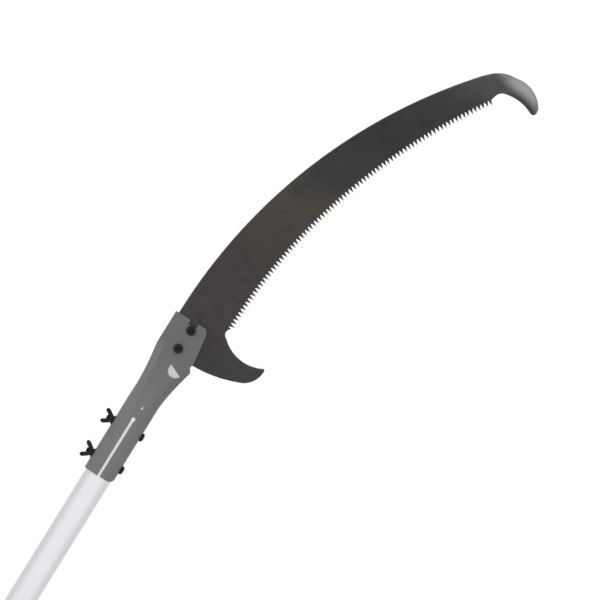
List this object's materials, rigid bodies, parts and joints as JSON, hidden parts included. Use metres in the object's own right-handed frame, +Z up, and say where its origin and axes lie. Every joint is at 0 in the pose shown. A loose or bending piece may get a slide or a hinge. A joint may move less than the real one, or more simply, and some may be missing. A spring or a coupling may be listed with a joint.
{
  "type": "telescoping pole saw",
  "caption": "Curved pruning saw blade with end hooks in a pinched steel socket, clamped on a telescoping tube pole with cam-lever locks, hand grip and butt cap.",
  "frame": {"origin": "centre of the flat foot of the butt cap, on the pole's axis", "axes": "+Z up the pole towards the blade; +X the side that the teeth and hooks face; -Y the side of the socket's slit, bolt heads and clamp levers"},
  "size_m": [0.2102, 0.0502, 1.633],
  "materials": {
    "blade_steel": "dark ground saw steel, fine grind marks along the blade, thin bright spine edge",
    "socket_paint": "satin mid-grey powder coat",
    "black_hardware": "black oxide steel, slightly glossy",
    "pole_aluminium": "bright drawn aluminium, satin, faint lengthwise draw lines",
    "bush_plastic": "matte moulded plastic",
    "grip_rubber": "soft matte black rubber with a fine moulded texture",
    "collar_nylon": "glass-filled nylon, fine spark-eroded texture",
    "lever_nylon": "glass-filled nylon, satin",
    "rivet_aluminium": "plain rivet heads",
    "zinc_steel": "bright zinc plate"
  },
  "bodies": {
    "outer_section": {"outer_tube": "pole_aluminium", "butt_cap": "grip_rubber", "hand_grip": "grip_rubber", "lower_collar": "collar_nylon", "lower_collar_rivets": "rivet_aluminium", "lower_cross_bolt": "zinc_steel", "lower_barrel_pin": "zinc_steel", "lower_cam_saddle": "zinc_steel"},
    "lower_lever": {"lower_cam_lever": "lever_nylon"},
    "lower_washer": {"lower_nut_washer": "zinc_steel"},
    "lower_nut": {"lower_thumb_nut": "lever_nylon"},
    "middle_section": {"middle_tube": "pole_aluminium", "middle_guide_bush": "bush_plastic", "upper_collar": "collar_nylon", "upper_collar_rivets": "rivet_aluminium", "upper_cross_bolt": "zinc_steel", "upper_barrel_pin": "zinc_steel", "upper_cam_saddle": "zinc_steel"},
    "upper_lever": {"upper_cam_lever": "lever_nylon"},
    "upper_washer": {"upper_nut_washer": "zinc_steel"},
    "upper_nut": {"upper_thumb_nut": "lever_nylon"},
    "saw_head": {"inner_tube": "pole_aluminium", "inner_guide_bush": "bush_plastic", "head_socket": "socket_paint", "saw_blade": "blade_steel", "blade_bolts": "black_hardware", "blade_washers": "black_hardware", "blade_nuts": "black_hardware", "clamp_bolt_lower": "black_hardware", "clamp_bolt_upper": "black_hardware"},
    "wing_washer_lower_body": {"wing_washer_lower": "black_hardware"},
    "wing_nut_lower_body": {"wing_nut_lower": "black_hardware"},
    "wing_washer_upper_body": {"wing_washer_upper": "black_hardware"},
    "wing_nut_upper_body": {"wing_nut_upper": "black_hardware"}
  },
  "joints": [
    {"name": "middle_slide", "type": "slide", "parent": "outer_section", "child": "middle_section", "axis": [0, 0, 1], "range_m": [0, 0.602]},
    {"name": "inner_slide", "type": "slide", "parent": "middle_section", "child": "saw_head", "axis": [0, 0, 1], "range_m": [-0.17, 0.382]},
    {"name": "lower_lever_open", "type": "hinge", "parent": "outer_section", "child": "lower_lever", "pos_m": [0.0265, -0.016, 0.81605], "axis": [0, 0, 1], "range_deg": [0, 110]},
    {"name": "lower_washer_slide", "type": "slide", "parent": "outer_section", "child": "lower_washer", "axis": [0, 1, 0], "range_m": [0, 0.0016]},
    {"name": "lower_nut_turn", "type": "hinge", "parent": "lower_washer", "child": "lower_nut", "pos_m": [0.0265, 0.0085, 0.81605], "axis": [0, 1, 0], "range_deg": [0, 720]},
    {"name": "upper_lever_open", "type": "hinge", "parent": "middle_section", "child": "upper_lever", "pos_m": [0.0245, -0.016, 0.889], "axis": [0, 0, 1], "range_deg": [0, 110]},
    {"name": "upper_washer_slide", "type": "slide", "parent": "middle_section", "child": "upper_washer", "axis": [0, 1, 0], "range_m": [0, 0.0016]},
    {"name": "upper_nut_turn", "type": "hinge", "parent": "upper_washer", "child": "upper_nut", "pos_m": [0.0245, 0.0085, 0.889], "axis": [0, 1, 0], "range_deg": [0, 720]},
    {"name": "wing_washer_lower_slide", "type": "slide", "parent": "saw_head", "child": "wing_washer_lower_body", "axis": [-1, 0, 0], "range_m": [0, 0.0016]},
    {"name": "wing_nut_lower_turn", "type": "hinge", "parent": "wing_washer_lower_body", "child": "wing_nut_lower_body", "pos_m": [-0.0181, 0, 1.091], "axis": [-1, 0, 0], "range_deg": [0, 720]},
    {"name": "wing_washer_upper_slide", "type": "slide", "parent": "saw_head", "child": "wing_washer_upper_body", "axis": [-1, 0, 0], "range_m": [0, 0.0016]},
    {"name": "wing_nut_upper_turn", "type": "hinge", "parent": "wing_washer_upper_body", "child": "wing_nut_upper_body", "pos_m": [-0.0181, 0, 1.1295], "axis": [-1, 0, 0], "range_deg": [0, 720]}
  ],
  "couplings": [
    {"joint": "lower_nut_turn", "follows": "lower_washer_slide", "rad_per_m": 7854},
    {"joint": "upper_nut_turn", "follows": "upper_washer_slide", "rad_per_m": 7854},
    {"joint": "wing_nut_lower_turn", "follows": "wing_washer_lower_slide", "rad_per_m": 7854},
    {"joint": "wing_nut_upper_turn", "follows": "wing_washer_upper_slide", "rad_per_m": 7854}
  ]
}
